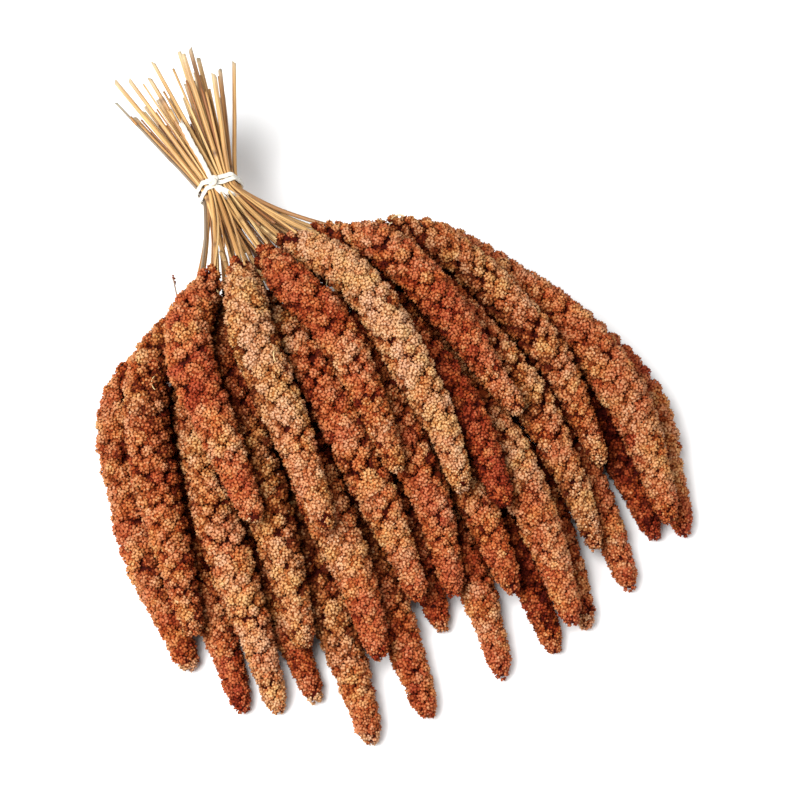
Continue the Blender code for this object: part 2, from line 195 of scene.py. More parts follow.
def wall_ways(sideways, across, sides, flat=1.0):
    """Ways out from each place of a curve to the sides of a tube round it."""
    turns = np.linspace(0, math.tau, sides, endpoint=False)
    return sideways[:, None] * np.cos(turns)[:, None] + across[:, None] * (flat * np.sin(turns))[:, None]


def grid(faces_across, faces_along):
    """A flat grid, its UV map, and layers for the places and the marks of its points."""
    mesh = bmesh.new()
    uv = mesh.loops.layers.uv.new("OFBake")
    place = mesh.verts.layers.float_vector.new("place")
    mark = mesh.verts.layers.float_vector.new("marks")
    bmesh.ops.create_grid(mesh, x_segments=faces_across, y_segments=faces_along, size=0.5, calc_uvs=True)
    return mesh, uv, place, mark


def capped(rings, line):
    """The rings of a tube with both ends of a line as one more ring each, which close it."""
    first, last = (np.repeat(line[i][None], rings.shape[1], axis=0) for i in (0, -1))
    return np.concatenate([[first], rings, [last]])


def rolled(rings, along, strip, marks=(0, 0, 0)):
    """A grid rolled into a tube of the given rings, with its seam welded.

    Its points keep their place on the tube and the marks of their ring. Its UV map runs round it across the
    given strip of the map, and along it from bottom to top.
    """
    count, sides = rings.shape[:2]
    marks = np.broadcast_to(marks, (count, 3))
    mesh, uv, place, mark = grid(sides, count - 1)
    for vert in mesh.verts:
        side = round((vert.co.x + 0.5) * sides) % sides
        ring = round((vert.co.y + 0.5) * (count - 1))
        turn = math.tau * side / sides
        vert.co = rings[ring, side]
        vert[place] = (math.cos(turn), math.sin(turn), along[ring])
        vert[mark] = marks[ring]
    for face in mesh.faces:
        for loop in face.loops:
            loop[uv].uv.x = strip[0] + loop[uv].uv.x * (strip[1] - strip[0])
    bmesh.ops.remove_doubles(mesh, verts=mesh.verts, dist=1e-7)
    bmesh.ops.recalc_face_normals(mesh, faces=mesh.faces)
    return mesh


def joined(name, meshes):
    """Several shapes as the mesh of one piece."""
    whole = bmesh.new()
    for mesh in meshes:
        data = bpy.data.meshes.new("part")
        mesh.to_mesh(data)
        mesh.free()
        whole.from_mesh(data)
        bpy.data.meshes.remove(data)
    data = bpy.data.meshes.new(name)
    whole.to_mesh(data)
    whole.free()
    return data


def finished(mesh, node, material):
    """The mesh as a smooth piece of the bunch, in place of its CAD node."""
    mesh.shade_smooth()
    mesh.materials.append(material)
    piece = bpy.data.objects.new(mesh.name, mesh)
    scene.collection.objects.link(piece)
    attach(piece, "root")
    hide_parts(node)


def new_material(name):
    material = bpy.data.materials.new(name)
    material.use_nodes = True
    shader = material.node_tree.nodes["Principled BSDF"]
    return material, material.node_tree, shader


def add(tree, kind, **settings):
    node = tree.nodes.new(kind)
    for key, value in settings.items():
        setattr(node, key, value)
    return node


def feed(tree, node, values):
    """Sets or links the sockets of a node that the values are given for."""
    for key, value in values.items():
        if isinstance(value, bpy.types.NodeSocket):
            tree.links.new(value, node.inputs[key])
        else:
            node.inputs[key].default_value = value


def attribute(tree, name):
    return add(tree, "ShaderNodeAttribute", attribute_name=name).outputs["Vector"]


def parted(tree, vector):
    node = add(tree, "ShaderNodeSeparateXYZ")
    feed(tree, node, {"Vector": vector})
    return node.outputs


def ramp(tree, stops, factor):
    node = add(tree, "ShaderNodeValToRGB")
    elements = node.color_ramp.elements
    while len(elements) < len(stops):
        elements.new(0.5)
    for element, (place, colour) in zip(elements, stops):
        element.position = place
        element.color = (*colour, 1)
    feed(tree, node, {"Fac": factor})
    return node.outputs["Color"]


def noise(tree, vector, scale, detail=3.0):
    node = add(tree, "ShaderNodeTexNoise")
    feed(tree, node, {"Vector": vector, "Scale": scale, "Detail": detail})
    return node.outputs["Fac"]


def maths(tree, operation, *values):
    node = add(tree, "ShaderNodeMath", operation=operation)
    feed(tree, node, dict(enumerate(values)))
    return node.outputs["Value"]


def mixed(tree, kind, factor, one, two):
    node = add(tree, "ShaderNodeMix", data_type="RGBA", blend_type=kind)
    feed(tree, node, {0: factor, 6: one, 7: two})
    return node.outputs[2]


def fibres_group():
    """Lengthwise fibres of a stalk or a thread, fine or coarse, straight or wound round it."""
    group = bpy.data.node_groups.new("fibres", "ShaderNodeTree")
    group.interface.new_socket("Place", in_out="INPUT", socket_type="NodeSocketVector")
    for name, value in (("Winding", 0.0), ("Around", 2.0), ("Along", 30.0)):
        group.interface.new_socket(name, in_out="INPUT", socket_type="NodeSocketFloat").default_value = value
    group.interface.new_socket("Fibre", in_out="OUTPUT", socket_type="NodeSocketFloat")
    given = add(group, "NodeGroupInput").outputs
    angle = maths(group, "MULTIPLY", parted(group, given["Place"])["Z"], given["Winding"])
    wound = add(group, "ShaderNodeVectorRotate", rotation_type="Z_AXIS")
    feed(group, wound, {"Vector": given["Place"], "Angle": angle})
    scale = add(group, "ShaderNodeCombineXYZ")
    feed(group, scale, {"X": given["Around"], "Y": given["Around"], "Z": given["Along"]})
    scaled = add(group, "ShaderNodeVectorMath", operation="MULTIPLY")
    feed(group, scaled, {0: wound.outputs["Vector"], 1: scale.outputs["Vector"]})
    fibre = noise(group, scaled.outputs["Vector"], 1.0, 4.0)
    feed(group, add(group, "NodeGroupOutput"), {"Fibre": fibre})


def fibres(tree, place, winding, around, along):
    node = add(tree, "ShaderNodeGroup", node_tree=bpy.data.node_groups["fibres"])
    feed(tree, node, {"Place": place, "Winding": winding, "Around": around, "Along": along})
    return node.outputs["Fibre"]


def bumped(tree, shader, height, strength, distance):
    bump = add(tree, "ShaderNodeBump")
    feed(tree, bump, {"Height": height, "Strength": strength, "Distance": distance})
    feed(tree, shader, {"Normal": bump.outputs["Normal"]})


def straw_material():
    """Cream to brown by age, fine streaks along it, dark joints, pale pithy cut, painted shade in the hollow.
    """
    material, tree, shader = new_material("straw")
    age, joint, pith = parted(tree, attribute(tree, "marks"))
    place = attribute(tree, "place")
    streaks = fibres(tree, place, 0.0, 5.0, 26.0)
    stains = fibres(tree, place, 0.0, 0.9, 34.0)
    aged = ramp(tree, ((0.0, (0.675, 0.490, 0.240)), (0.25, (0.565, 0.338, 0.132)),
                       (0.50, (0.432, 0.223, 0.074)), (0.85, (0.265, 0.102, 0.030)),
                       (1.0, (0.250, 0.200, 0.150))), age)
    streaked = ramp(tree, ((0.36, (0.34, 0.22, 0.13)), (0.47, (0.86, 0.81, 0.72)),
                           (0.60, (1.18, 1.20, 1.16))), streaks)
    stained = ramp(tree, ((0.33, (0.42, 0.26, 0.14)), (0.48, (1.0, 1.0, 1.0))), stains)
    colour = mixed(tree, "MULTIPLY", 1.0, aged, streaked)
    colour = mixed(tree, "MULTIPLY", 0.7, colour, stained)
    # Dark joints, and painted shade inside the hollow of the cut
    colour = mixed(tree, "MIX", joint, colour, (0.130, 0.058, 0.020, 1))
    colour = mixed(tree, "MIX", pith, colour, (0.560, 0.540, 0.400, 1))
    rough = maths(tree, "ADD", maths(tree, "MULTIPLY", streaks, 0.3), 0.34)
    feed(tree, shader, {"Base Color": colour, "Roughness": rough})
    bumped(tree, shader, streaks, 0.5, 0.00025)
    return material


def sheath(middle, ahead, side, over, radius, length, turn, marks, along):
    """A torn strip of dry leaf sheath, which clasps a straw at its joint and stands off at its other end."""
    mesh, uv, place, mark = grid(6, 5)
    for vert in mesh.verts:
        share = vert.co.y + 0.5
        angle = turn + vert.co.x * (SHEATH_CLASP - SHEATH_OPENS * share)
        out = side * math.cos(angle) + over * math.sin(angle)
        lift = radius * (1.10 + 0.5 * share ** 2)
        tear = 1 - SHEATH_TORN * abs(math.sin(3.3 * vert.co.x + turn)) * (share > 0.9)
        vert.co = Vector(middle + ahead * (length * share * tear) + out * lift)
        vert[place] = (math.cos(angle), math.sin(angle), along + share * length)
        vert[mark] = marks
    bmesh.ops.recalc_face_normals(mesh, faces=mesh.faces)
    bmesh.ops.solidify(mesh, geom=mesh.faces, thickness=SHEATH_THICKNESS)
    mesh.verts.index_update()

    def by_points(face):
        numbers = [vert.index for vert in face.verts]
        return min(numbers) * len(mesh.verts) + max(numbers)

    # The faces of the rim come in any order
    mesh.faces.sort(key=by_points)
    for face in mesh.faces:
        for loop in face.loops:
            loop[uv].uv = loop[uv].uv * SHEATH_STRIP[1] + Vector((SHEATH_STRIP[0], 0.0))
    return mesh


def straw_shapes(line, number):
    """A straw's tube, swollen at its joints and hollow at its cut, and the sheaths that some joints have."""
    curve, at = line.curve, line.at
    ahead, sideways, across = directions(curve)
    age = rng.beta(*AGE_SPREAD) * OLDEST
    joints = rng.uniform(JOINT_FROM_CUT, at[-1] - JOINT_FROM_END, rng.integers(0, MOST_JOINTS + 1))
    if number == TWIG:
        age, joints = 1.0, np.array(TWIG_JOINTS)
    from_joint = (at[:, None] - joints) / JOINT_HEIGHT
    swell = 1 + JOINT_SWELL * np.exp(-from_joint ** 2).sum(axis=1)
    uneven = rng.uniform(-1, 1, UNEVEN_PLACES)
    swell *= 1 + STRAW_UNEVEN * np.interp(at, np.linspace(0, at[-1], UNEVEN_PLACES), uneven)
    dark = np.clip(np.exp(-(from_joint * DARK_NARROWER) ** 2).sum(axis=1), 0, 1)
    wall = wall_ways(sideways, across, STRAW_SIDES, 1 - rng.uniform(0.0, STRAW_FLATTER))
    outside = curve[:, None] + wall * (line.radius * swell)[:, None, None]
    turns = np.linspace(0, math.tau, STRAW_SIDES, endpoint=False)
    slant = (rng.uniform(-CUT_SLANT, CUT_SLANT) * np.cos(turns))[:, None] * ahead[0]
    fray = rng.uniform(-CUT_FRAY, CUT_FRAY, STRAW_SIDES)[:, None] * ahead[0]
    outside[0] += slant + fray
    outside[1] += slant * 0.5
    rim = curve[0] + wall[0] * line.radius * STRAW_BORE + slant
    bore = curve[0] + wall[0] * line.radius * STRAW_BORE * 0.9 + ahead[0] * STRAW_DEPTH
    ends = curve[0] + ahead[0] * STRAW_DEPTH, curve[-1]
    rings = capped(np.concatenate([[bore, rim], outside]), ends)
    along = np.concatenate([[STRAW_DEPTH, STRAW_DEPTH, 0], at, [at[-1]]]) + number
    pith = np.concatenate([[0.2, 0.4, 1.0], 0.5 * np.exp(-at / PITH_RUN), [0]])
    # The hollow's floor and wall take the joints' dark colour, as painted shade
    dark = np.concatenate([[1, 1, 0], dark, [0]])
    marks = np.stack([np.full(len(rings), age), dark, pith], axis=1)
    sheaths = []
    for joint in joints[rng.random(len(joints)) < SHEATHED]:
        i = np.searchsorted(at, joint)
        length, turn = rng.uniform(*SHEATH_LENGTH), rng.uniform(0, math.tau)
        sheaths.append(sheath(curve[i], -ahead[i], sideways[i], across[i], line.radius, length, turn,
                              (age * 0.5, 0, 0), joint + number))
    return rolled(rings, along, STRAW_STRIP, marks), sheaths


fibres_group()
straw = straw_material()
# The string holds the straws where its lowest points lie, in the middle of its two windings
string_points = np.array([vert.co[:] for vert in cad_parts["string"].data.vertices])
lowest = string_points[:, 2] < string_points[:, 2].min() + 0.002
tie_y = string_points[lowest, 1].mean()
straw_lines = []
head_lines = []
for number in range(1, CULMS + 1):
    stem_points, stem_radii = node_line(f"stem_{number:02d}")
    head_points, head_radii = node_line(f"head_{number:02d}")
    # Both lines run from the cut end to the tip of the head
    gaps = {(i, j): np.linalg.norm(stem_points[i] - head_points[j]) for i in (0, -1) for j in (0, -1)}
    stem_end, head_end = min(gaps, key=gaps.get)
    if stem_end == 0:
        stem_points = stem_points[::-1]
    if head_end == -1:
        head_points, head_radii = head_points[::-1], head_radii[::-1]
    head_lines.append((head_points, head_radii))
    into = distances(head_points)
    kept = (into > STRAW_INTO_HEAD[0]) & (into < STRAW_INTO_HEAD[1])
    at, curve = smooth_line(np.concatenate([stem_points[1:-1], head_points[kept]]), STRAW_STEP)
    # Dried straws are straighter than solid ones that rest on each other
    tie, *held = [np.argmin(np.abs(curve[:, 1] - tie_y - side * HELD_BY_STRING)) for side in (0, 1, -1)]
    foot = np.argmin(np.linalg.norm(curve - head_points[0], axis=1))
    for start, end, share in ((0, held[0], STRAIGHTER_AT_CUT), (held[1], foot, STRAIGHTER_AT_HEAD)):
        run = np.linspace(0, 1, end - start + 1)[:, None]
        straight = curve[start] * (1 - run) + curve[end] * run
        curve[start:end + 1] += share * (straight - curve[start:end + 1])
    radius = stem_radii[1:-1].mean() * rng.uniform(*STRAW_SLIMMER)
    if number == TWIG:
        radius *= TWIG_SHARE
    straw_lines.append(Straw(curve, radius, at, at[tie], at[foot]))


# Thin straws: stalks of the same plants that have lost their heads, caught in the bunch as it was tied. Most
# are gripped between three straws, and some lie in the grooves on top and run on over the feet of the heads.

NEIGHBOURS = 0.0047
THIN_SIDES = 6
THIN_STEP = 0.004

# Held between three straws, with shares of their lengths on both sides of the string
THIN_STRAWS = 0.95
MOST_THIN = 2
THIN_RADIUS = (0.00050, 0.00085)
THIN_AGE = (0.25, 0.95)
THIN_CUT = (0.76, 0.98)
THIN_FRONT = (0.5, 1.3)
THIN_STRAY = 0.6
THIN_STRAY_RUN = 0.05

# In a groove between two straws that no other straw covers, and on over the heads
COVER_NEAR = 0.0026
COVER_HIGHER = 0.001
IN_GROOVE = 0.0007
GROOVE_RADIUS = (0.00055, 0.0008)
GROOVE_AGE = (0.1, 0.5)
GROOVE_CUT = (0.80, 0.98)
TO_ONE_HEAD = 0.4
OVER_HEADS = (0.014, 0.026)
OVER_LIFT = 0.0030
HIGHEST_OVER = 0.013


def heads_in_the_way():
    """All heads as plain solids, to lay straws on and to find what can't be seen from anywhere."""
    points, faces = [], []
    count = 0
    for number in range(1, CULMS + 1):
        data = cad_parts[f"head_{number:02d}"].data
        points += [vert.co[:] for vert in data.vertices]
        faces += [[count + i for i in face.vertices] for face in data.polygons]
        count += len(data.vertices)
    return BVHTree.FromPolygons(points, faces)


def below_heads(curve, lift):
    """How far each point of a curve lies below a resting place on whatever head is uppermost there."""
    below = np.zeros(len(curve))
    for i, (x, y, z) in enumerate(curve):
        hit = solids.ray_cast(Vector((x, y, cad_box[1][2] + 0.1)), Vector((0, 0, -1)))[0]
        if hit is not None:
            below[i] = max(hit[2] + lift - z, 0)
    return below


def thin_straw(curve, radius, age, number, strip):
    """A thin stalk without joints, closed at both ends."""
    _, sideways, across = directions(curve)
    rings = capped(curve[:, None] + wall_ways(sideways, across, THIN_SIDES) * radius, curve)
    along = np.concatenate([[0], np.arange(len(curve) + 1) * THIN_STEP])
    # Its streaks are half a metre on, so that they aren't those of the straw that it belongs to
    return rolled(rings, along + number + 0.5, strip, (age, 0.0, 0.0))


solids = heads_in_the_way()
thin_lines = [[] for _ in range(CULMS)]
held_at = np.array([at_place([line.tie], line.at, line.curve)[0, [0, 2]] for line in straw_lines])
for three in itertools.combinations(range(CULMS), 3):
    apart = [np.linalg.norm(held_at[i] - held_at[j]) for i, j in itertools.combinations(three, 2)]
    if max(apart) > NEIGHBOURS or rng.random() > THIN_STRAWS or len(thin_lines[three[0]]) == MOST_THIN:
        continue
    beside = [straw_lines[i] for i in three]
    cut = min(line.tie for line in beside) * rng.uniform(*THIN_CUT)
    front = min(line.foot - line.tie for line in beside) * rng.uniform(*THIN_FRONT)
    runs = np.arange(-cut, front, THIN_STEP)
    # It starts in the middle of the three, and strays from there
    stray = np.clip(np.abs(runs) / THIN_STRAY_RUN, 0, 1)[:, None] * THIN_STRAY
    share = (1 - stray) / 3 + stray * rng.dirichlet((1, 1, 1))
    thin = sum(at_place(runs + line.tie, line.at, line.curve) * part[:, None]
               for line, part in zip(beside, share.T))
    thin_lines[three[0]].append((thin, rng.uniform(*THIN_RADIUS), rng.uniform(*THIN_AGE)))

uppermost = []
for i, (x, z) in enumerate(held_at):
    covers = (np.abs(held_at[:, 0] - x) < COVER_NEAR) & (held_at[:, 1] > z + COVER_HIGHER)
    if not covers.any():
        uppermost.append(i)
for i, j in itertools.combinations(uppermost, 2):
    if np.linalg.norm(held_at[i] - held_at[j]) > NEIGHBOURS:
        continue
    beside = [straw_lines[i], straw_lines[j]]
    foot = min(line.foot - line.tie for line in beside)
    cut = min(line.tie for line in beside) * rng.uniform(*GROOVE_CUT)
    runs = np.arange(-cut, foot, THIN_STEP)
    one, other = (at_place(runs + line.tie, line.at, line.curve) for line in beside)
    aside = (0.5 - TO_ONE_HEAD * np.clip(runs / foot, 0, 1))[:, None]
    thin = one * (1 - aside) + other * aside + (0, 0, IN_GROOVE)
    more = np.arange(1, int(rng.uniform(*OVER_HEADS) / THIN_STEP) + 1)
    beyond = thin[-1] + (thin[-1] - thin[-3]) / 2 * more[:, None]
    steepness = (below_heads(beyond, OVER_LIFT) / (runs[-1] + more * THIN_STEP)).max()
    if steepness * foot < HIGHEST_OVER:
        runs = np.concatenate([runs, runs[-1] + more * THIN_STEP])
        thin = np.concatenate([thin, beyond])
        thin[:, 2] += steepness * np.clip(runs, 0, None)
    thin_lines[i].append((thin, rng.uniform(*GROOVE_RADIUS), rng.uniform(*GROOVE_AGE)))


# Bristle and shreds: one bare bristle stands off the foot of the leftmost head, with a few seeds on its end,
# and pale curled shreds of dry leaf lie on the heads near their feet. Each is made as a thin straw is.

BRISTLE_LENGTH = 0.024
BRISTLE_POINTS = 6
BRISTLE_RADIUS = 0.00042
BRISTLE_AGE = 0.95
BRISTLE_LEAN = (-0.10, 0.0, 0.42)
BRISTLE_BEND = (0.08, 0.0, 0.0)
SHREDS = 5
SHRED_POINTS = 7
SHRED_RADIUS = (0.00022, 0.00038)
SHRED_TURN = (1.0, 2.2)
SHRED_REACH = (0.004, 0.007)
SHRED_LIFT = 0.0022


def evened(values, reach):
    """Each value as the mean of itself and its neighbours on both sides, as far as the given reach."""
    count = 2 * reach + 1
    return np.convolve(np.pad(values, reach, mode="edge"), np.full(count, 1 / count), mode="valid")


bristly = int(np.argmin([points[0][0] for points, _ in head_lines]))
bristle_foot = head_lines[bristly][0][1]
bristle_way = straw_lines[bristly].curve[0] - bristle_foot
bristle_way = bristle_way / np.linalg.norm(bristle_way) + BRISTLE_LEAN
run = np.linspace(0, 1, BRISTLE_POINTS)[:, None]
bristle = bristle_foot + (bristle_way * run + BRISTLE_BEND * run ** 2) * BRISTLE_LENGTH
thin_lines[bristly].append((bristle, BRISTLE_RADIUS, BRISTLE_AGE))

for number in rng.choice(CULMS, SHREDS, replace=False):
    points, _ = head_lines[number]
    middle = points[rng.integers(len(points) // 10, len(points) // 3)]
    turns = rng.uniform(0, math.tau) + np.linspace(0, rng.uniform(*SHRED_TURN), SHRED_POINTS)
    curl = np.stack([np.cos(turns), np.sin(turns), 0 * turns], axis=1)
    shred = middle + rng.uniform(*SHRED_REACH) * curl
    shred[:, 2] += evened(below_heads(shred, SHRED_LIFT), 1)
    thin_lines[number].append((shred, rng.uniform(*SHRED_RADIUS), 0.0))

# Each straw's piece also holds what was given to it above, on strips of its map beside its own
for number, (line, thin_ones) in enumerate(zip(straw_lines, thin_lines), start=1):
    tube, sheaths = straw_shapes(line, number)
    parts = [tube]
    for i, (thin, radius, age) in enumerate(thin_ones):
        left = STRAW_STRIP[1] + THIN_STRIP * i
        parts.append(thin_straw(thin, radius, age, number, (left, left + THIN_STRIP)))
    finished(joined(f"straw_{number:02d}", parts + sheaths), f"stem_{number:02d}", straw)


# Seed heads: each is the stalk's long flower spike, dried, with hundreds of round tufts of tiny hard seeds in
# spiral rows round it. Tufts stand apart at its foot and run together toward its tip. Nothing holds the seeds
# but their own short stalks.

# Seeds over the surface of a tuft, which are larger where only the floor could see them
SEED_REACH = 0.00094
SEED_SIZES = (0.88, 1.12)
SEED_LENGTH = 0.95
SEED_SUNK = 0.35
SEED_PITCH = 0.00159
COARSER_BELOW = 1.3
FEWEST_SEEDS = 8
CORE_SUNK = 1.3

# Tufts: radius as a share of the head's, except at the foot, and distance from each other in such radii
TUFT_SHARE = 0.375
TUFT_SHARE_AT_TIP = 0.48
TUFT_AT_FOOT = 0.0040
TUFT_SIZES = (0.82, 1.20)
TUFT_PITCH = 1.50
TUFT_PITCH_AT_TIP = 1.25
TUFT_PITCH_AT_FOOT = 2.10
TUFT_JITTER = 0.24
FIRST_TUFT = 0.0035
LAST_TUFT = 0.0018
FOOT_RUN = 0.035
TIP_FROM = 0.62
TIP_SLIMMER = 0.08
FALLEN = 0.22
FALLEN_RUN = 0.030
STANDS_OFF = 0.0030
STANDS_OFF_RUN = 0.045
BEAD_STEP = 0.004
BEAD_SHARE = 0.62
ROW_SHARE = 0.866
GOLDEN_TURN = math.pi * (3 - math.sqrt(5))
LOOKS = 80

# Tones go from 0, tan, to 1, rust-red: of a whole head, along it, of a tuft and of a seed
HEAD_TONE = 0.475
HEAD_TONE_SPREAD = 0.29
REDDER_ASIDE = 0.12
PALER_ABOVE = 0.28
TONE_DRIFT = 0.30
DRIFT_PLACES = 9
TUFT_TONE_SPREAD = 0.12
SEED_TONE_SPREAD = 0.10
REDDER_AROUND = 0.30

# Light, painted into the colour, goes from 0, a dark gap in painted shade, to 1, the palest seed
TUFT_LIGHT = 0.63
TUFT_LIGHT_SPREAD = 0.11
HEAD_LIGHT = (-0.20, 0.14)
DIM_AT_FOOT = 0.26
SHADE_BETWEEN_HEADS = 0.52
SEED_LIGHT_SPREAD = 0.14
# Painted shade on seeds that face aside from their tuft, less of it toward the tip
FACING_SHADE = 0.46
LESS_FACING_SHADE_AT_TIP = 0.20
PALE_SEEDS = 0.008
DULL_TUFTS = 0.03
DULL_TUFTS_AT_FOOT = 0.14
DULL_TONE = 0.22
DULL_LIGHT = 0.30
HUSKY_TIPS = 0.3
HUSKS_FROM = 0.975


def even_directions(count):
    """Directions spread evenly over a ball."""
    i = np.arange(count) + 0.5
    height = 1 - 2 * i / count
    across = np.sqrt(1 - height * height)
    return np.stack([across * np.cos(i * GOLDEN_TURN), across * np.sin(i * GOLDEN_TURN), height], axis=1)


def template(mesh):
    """A small shape to repeat, open below: points, triangles, and their places on a disc seen from above."""
    lowest = min(mesh.verts, key=lambda vert: vert.co.z)
    bmesh.ops.delete(mesh, geom=[lowest], context="VERTS")
    bmesh.ops.triangulate(mesh, faces=mesh.faces)
    mesh.verts.index_update()
    points = np.array([vert.co[:] for vert in mesh.verts])
    faces = np.array([[vert.index for vert in face.verts] for face in mesh.faces])
    mesh.free()
    far = np.arccos(np.clip(points[:, 2] / np.linalg.norm(points, axis=1), -1, 1))
    turn = np.arctan2(points[:, 1], points[:, 0])
    disc = np.stack([np.cos(turn), np.sin(turn)], axis=1) * (far / far.max())[:, None]
    return points, faces, disc[faces]


def seed_shape(sides):
    """The outer end of a seed with the given number of sides, pointed, which smooth shading rounds."""
    mesh = bmesh.new()
    bmesh.ops.create_uvsphere(mesh, u_segments=sides, v_segments=2, radius=1.0)
    points, faces, disc = template(mesh)
    points[points[:, 2] < 0.5, 2] = -SEED_SUNK
    return points, faces, disc


fine_seed, plain_seed = seed_shape(5), seed_shape(4)
core_ball = bmesh.new()
bmesh.ops.create_icosphere(core_ball, subdivisions=1, radius=1.0)
core_ball = template(core_ball)


def upright(ways):
    """For each direction, two more square to it, turned at random round it."""
    one = unit(np.cross(ways, rng.normal(size=ways.shape)))
    return one, np.cross(ways, one)


class Tufts:
    """Everything that one head's mesh is made of, collected as repeats of small shapes."""

    def __init__(self):
        self.points, self.faces, self.discs, self.marks = [], [], [], []
        self.count = 0

    def repeat(self, shape, middles, ways, reach, tone, light, length=SEED_LENGTH):
        points, faces, disc = shape
        one, two = upright(ways)
        size = len(middles)
        if not size:
            return
        placed = points[None, :, :1] * one[:, None] + points[None, :, 1:2] * two[:, None]
        placed *= reach[:, None, None]
        placed += points[None, :, 2:] * ways[:, None] * (reach * length)[:, None, None]
        self.points.append((placed + middles[:, None]).reshape(-1, 3))
        first = np.arange(size) * len(points) + self.count
        self.faces.append((faces[None] + first[:, None, None]).reshape(-1, 3))
        self.discs.append(np.broadcast_to(disc, (size, *disc.shape)))
        height = np.broadcast_to(points[None, :, 2] * 0.5 + 0.5, (size, len(points)))
        tone, light = (np.broadcast_to(np.reshape(value, (-1, 1)), height.shape) for value in (tone, light))
        self.marks.append(np.stack([tone, light, height], axis=2).reshape(-1, 3))
        self.count += size * len(points)

    def mesh(self, name):
        data = bpy.data.meshes.new(name)
        data.from_pydata(np.concatenate(self.points), [], np.concatenate(self.faces))
        # Every seed has its own square on the map
        squares = sum(len(disc) for disc in self.discs)
        side = math.ceil(math.sqrt(squares))
        uv = []
        first = 0
        for disc in self.discs:
            square = np.arange(len(disc)) + first
            corner = np.stack([square % side, square // side], axis=1) + 0.5
            uv.append(((corner[:, None, None] + disc * 0.46) / side).reshape(-1, 2))
            first += len(disc)
        layer = data.uv_layers.new(name="OFBake")
        layer.uv.foreach_set("vector", np.concatenate(uv).astype(np.float32).ravel())
        marks = data.attributes.new("seed", "FLOAT_VECTOR", "POINT")
        marks.data.foreach_set("vector", np.concatenate(self.marks).astype(np.float32).ravel())
        data.validate()
        return data


def seed_material():
    """Tan to rust-red seeds, painted shade in the gaps, a painted highlight on each end, all dry and matte.
    """
    material, tree, shader = new_material("seed_head")
    tone, light, height = parted(tree, attribute(tree, "seed"))
    place = add(tree, "ShaderNodeTexCoord").outputs["Object"]
    speckle = noise(tree, place, 1400.0, 2.0)
    ripe = ramp(tree, ((0.0, (0.500, 0.275, 0.132)), (0.35, (0.460, 0.200, 0.084)),
                       (0.65, (0.400, 0.113, 0.038)), (1.0, (0.270, 0.042, 0.014))), tone)
    lit = ramp(tree, ((0.0, (0.17, 0.050, 0.014)), (0.28, (0.62, 0.38, 0.22)), (0.55, (0.95, 0.90, 0.85)),
                      (1.0, (1.10, 1.22, 1.42))), light)
    colour = mixed(tree, "MULTIPLY", 1.0, ripe, lit)
    # Painted shade at each seed's foot, in the gaps, and a painted highlight on its end
    ends = ramp(tree, ((0.33, (0.28, 0.11, 0.045)), (0.50, (0.87, 0.81, 0.75)), (0.75, (1.02, 1.02, 1.02)),
                       (1.0, (1.06, 1.07, 1.07))), height)
    colour = mixed(tree, "MULTIPLY", 1.0, colour, ends)
    patches = noise(tree, place, 75.0, 2.0)
    golden = ramp(tree, ((0.36, (1.03, 1.06, 0.86)), (0.50, (1.0, 1.0, 1.0)),
                         (0.64, (0.97, 0.95, 1.08))), patches)
    colour = mixed(tree, "MULTIPLY", 1.0, colour, golden)
    grain = ramp(tree, ((0.35, (0.74, 0.70, 0.66)), (0.60, (1.06, 1.06, 1.06))), speckle)
    colour = mixed(tree, "MULTIPLY", 1.0, colour, grain)
    feed(tree, shader, {"Base Color": colour, "Roughness": 0.8, "Specular IOR Level": 0.08})
    bumped(tree, shader, speckle, 0.35, 0.0003)
    return material


def tuft_places(points, radii):
    """Tufts along a golden spiral round a head: middle, way out, radius, and share of the head's length.

    Last comes a row of beads along its stalk, which fill its middle: their places, directions and radii.
    """
    along, curve = smooth_line(points, 0.001)
    reach = np.interp(along, distances(points)[1:-1], radii[1:-1])
    reach *= 1 - TIP_SLIMMER * np.clip((along / along[-1] - 0.80) / 0.20, 0, 1) ** 2
    ahead, sideways, across = directions(curve)
    length = along[-1]
    run, turn = FIRST_TUFT, rng.uniform(0, math.tau)
    rows = []
    while run < length - LAST_TUFT:
        share = run / length
        local = np.interp(run, along, reach)
        foot = np.clip(1 - run / FOOT_RUN, 0, 1)
        tip = np.clip((share - TIP_FROM) / (1 - TIP_FROM), 0, 1)
        tuft = local * (TUFT_SHARE + (TUFT_SHARE_AT_TIP - TUFT_SHARE) * tip)
        tuft = tuft * (1 - foot) + TUFT_AT_FOOT * foot
        pitch = tuft * (TUFT_PITCH + (TUFT_PITCH_AT_TIP - TUFT_PITCH) * tip
                        + (TUFT_PITCH_AT_FOOT - TUFT_PITCH) * foot)
        jitter = rng.uniform(-1, 1, 2) * pitch * TUFT_JITTER
        rows.append((run + jitter[0], turn + jitter[1] / local, local, tuft * rng.uniform(*TUFT_SIZES)))
        around = math.tau * max(local - 0.8 * tuft, 0.8 * tuft)
        run += ROW_SHARE * pitch * pitch / around
        turn += GOLDEN_TURN
    run, turn, local, tuft = np.array(rows).T
    run = np.clip(run, 0, length)
    side, over = at_place(run, along, sideways), at_place(run, along, across)
    out = side * np.cos(turn)[:, None] + over * np.sin(turn)[:, None]
    lean = at_place(run, along, ahead)
    deep = np.maximum(local - tuft * rng.uniform(0.93, 1.05, len(tuft)), 0)
    # Tufts stand off the stalk at the foot
    deep += STANDS_OFF * np.clip(1 - run / STANDS_OFF_RUN, 0, 1) * rng.random(len(run)) ** 1.5
    middle = at_place(run, along, curve) + out * deep[:, None]
    # The last tufts close the tip
    end = np.clip((run - length + 0.006) / 0.006, 0, 1)[:, None]
    out = unit(out * (1 - end) + lean * (0.25 + end))
    beads = np.arange(0.010, length - 0.003, BEAD_STEP)
    reach = np.interp(beads, along, reach) * BEAD_SHARE
    spine = at_place(beads, along, curve), at_place(beads, along, ahead), reach
    # Some tufts have fallen off at the foot
    kept = rng.random(len(run)) > FALLEN * np.clip(1 - run / FALLEN_RUN, 0, 1)
    return middle[kept], out[kept], tuft[kept], (run / length)[kept], spine


